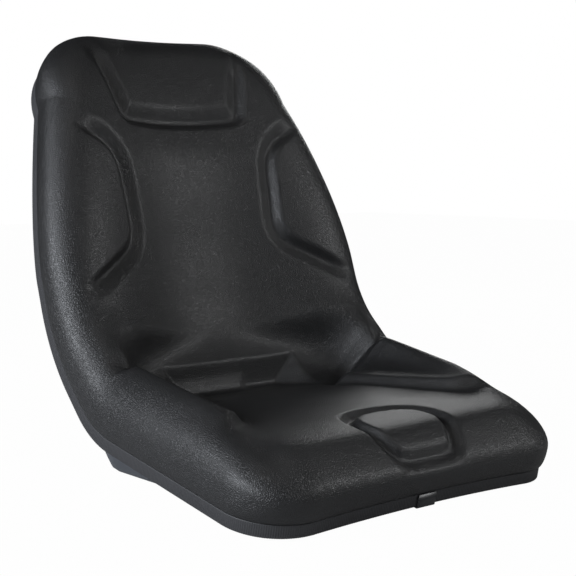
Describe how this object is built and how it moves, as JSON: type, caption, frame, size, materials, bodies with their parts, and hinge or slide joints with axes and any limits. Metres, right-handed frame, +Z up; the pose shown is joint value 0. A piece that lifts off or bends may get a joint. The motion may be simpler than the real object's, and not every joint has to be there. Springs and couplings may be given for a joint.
{
  "type": "tractor seat",
  "caption": "High-back bucket seat with a moulded foam cushion in a pressed steel pan, an edge trim along its rim and a bolt pattern under its flat base.",
  "frame": {"origin": "centre of the bolt pattern, on the underside of the pan's flat base", "axes": "+Z up, the seat faces -Y, +X to the left of a person who sits in it, the seat is symmetric about X = 0"},
  "size_m": [0.472, 0.5598, 0.5351],
  "materials": {
    "vinyl": "satin, fine leather grain",
    "pan_paint": "satin",
    "trim_rubber": "matt, finely ribbed",
    "clip_plastic": "smooth",
    "nut_steel": "zinc plated"
  },
  "bodies": {
    "root": {"cushion": "vinyl", "seat_pan": "pan_paint", "edge_trim": "trim_rubber", "trim_clip": "clip_plastic", "weld_nuts": "nut_steel"}
  },
  "joints": []
}
